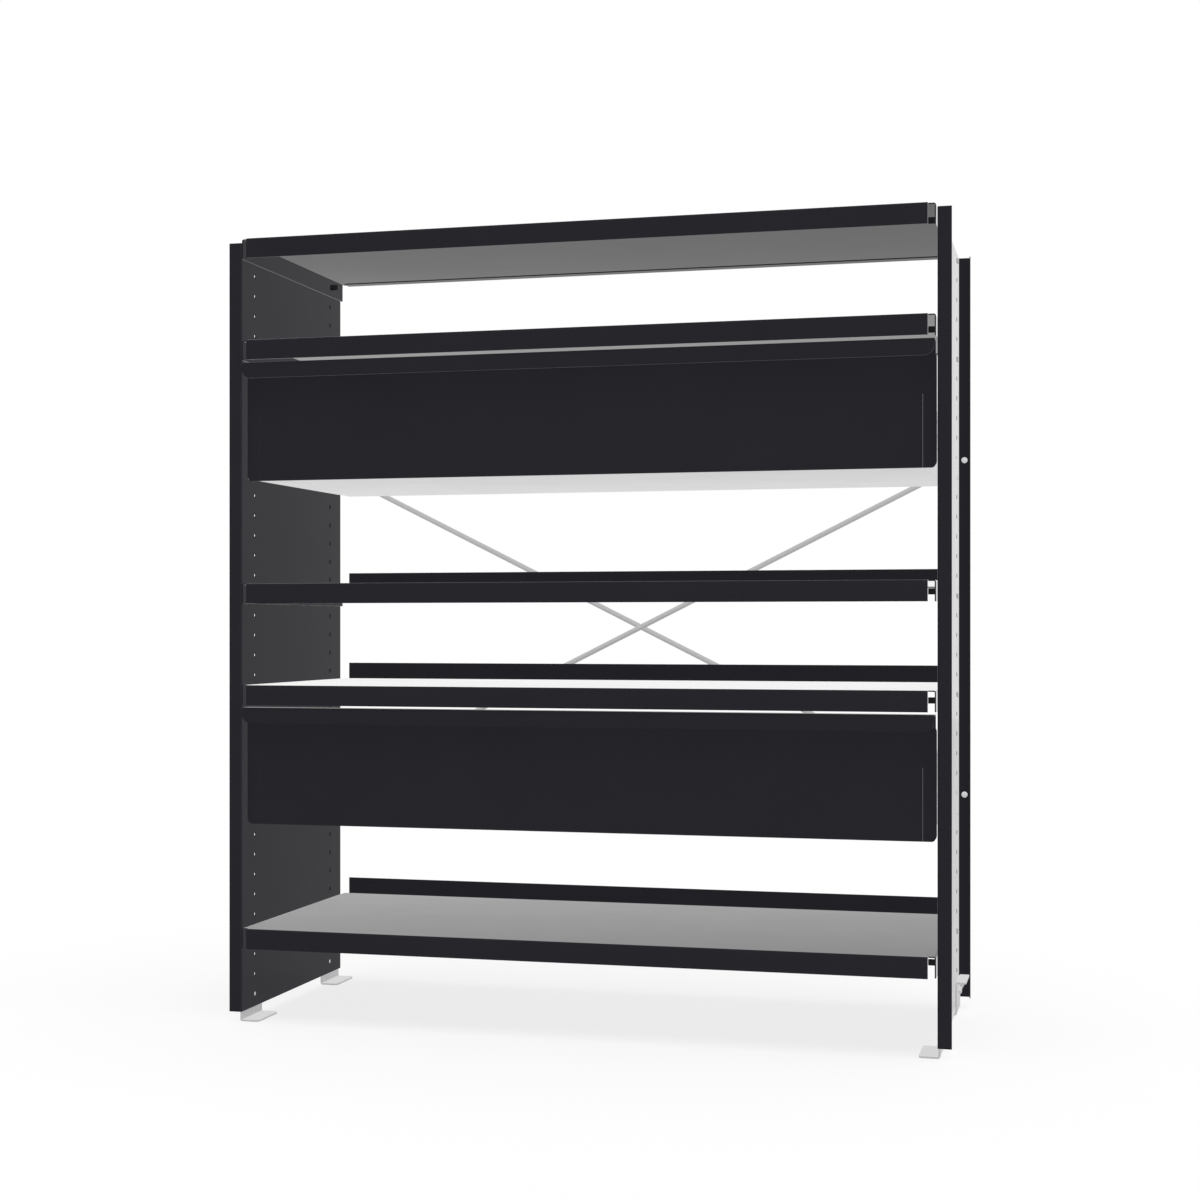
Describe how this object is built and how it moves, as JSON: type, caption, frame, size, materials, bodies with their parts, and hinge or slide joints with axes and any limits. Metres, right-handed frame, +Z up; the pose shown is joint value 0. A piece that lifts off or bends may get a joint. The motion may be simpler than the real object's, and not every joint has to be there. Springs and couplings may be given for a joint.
{
  "type": "shelving unit",
  "caption": "Open shelving unit of folded dark coated sheet with perforated side panels, shelves with rear stops, sliding drawers, a crossed rod brace and foot brackets.",
  "frame": {"origin": "centre of the footprint on the floor", "axes": "+X to the right seen from the front, -Y to the front, +Z up"},
  "size_m": [0.8824, 0.3636, 0.9877],
  "materials": {
    "dark_coat": "smooth dark satin coat on folded aluminium sheet",
    "bare_metal": "plain pale metal, lightly brushed",
    "hardware": "plated steel",
    "roller_plastic": "plain natural plastic"
  },
  "bodies": {
    "frame": {"brace_bolts": "hardware", "brace_nuts": "hardware", "brace_rod_falling": "bare_metal", "brace_rod_rising": "bare_metal", "brace_spacers": "hardware", "foot_front_left": "bare_metal", "foot_front_right": "bare_metal", "foot_nuts": "hardware", "foot_rear_left": "bare_metal", "foot_rear_right": "bare_metal", "foot_studs": "hardware", "left_side_panel": "dark_coat", "lower_runner_left": "bare_metal", "lower_runner_right": "bare_metal", "lower_runner_rivets": "hardware", "rear_stop_1": "dark_coat", "rear_stop_2": "dark_coat", "rear_stop_3": "dark_coat", "rear_stop_4": "dark_coat", "rear_stop_5": "dark_coat", "right_side_panel": "dark_coat", "shelf_1": "dark_coat", "shelf_2": "dark_coat", "shelf_3": "dark_coat", "shelf_4": "dark_coat", "shelf_5": "dark_coat", "shelf_clips_1": "dark_coat", "shelf_clips_2": "dark_coat", "shelf_clips_3": "dark_coat", "shelf_clips_4": "dark_coat", "shelf_clips_5": "dark_coat", "upper_runner_left": "bare_metal", "upper_runner_right": "bare_metal", "upper_runner_rivets": "hardware"},
    "upper_drawer": {"upper_drawer_back": "dark_coat", "upper_drawer_bottom": "dark_coat", "upper_drawer_front": "dark_coat", "upper_drawer_left_rail": "bare_metal", "upper_drawer_left_side": "dark_coat", "upper_drawer_right_rail": "bare_metal", "upper_drawer_right_side": "dark_coat", "upper_drawer_rollers": "roller_plastic"},
    "lower_drawer": {"lower_drawer_back": "dark_coat", "lower_drawer_bottom": "dark_coat", "lower_drawer_front": "dark_coat", "lower_drawer_left_rail": "bare_metal", "lower_drawer_left_side": "dark_coat", "lower_drawer_right_rail": "bare_metal", "lower_drawer_right_side": "dark_coat", "lower_drawer_rollers": "roller_plastic"}
  },
  "joints": [
    {"name": "upper_drawer_slide", "type": "slide", "parent": "frame", "child": "upper_drawer", "axis": [0, -1, 0], "range_m": [0, 0.22]},
    {"name": "lower_drawer_slide", "type": "slide", "parent": "frame", "child": "lower_drawer", "axis": [0, -1, 0], "range_m": [0, 0.22]}
  ]
}
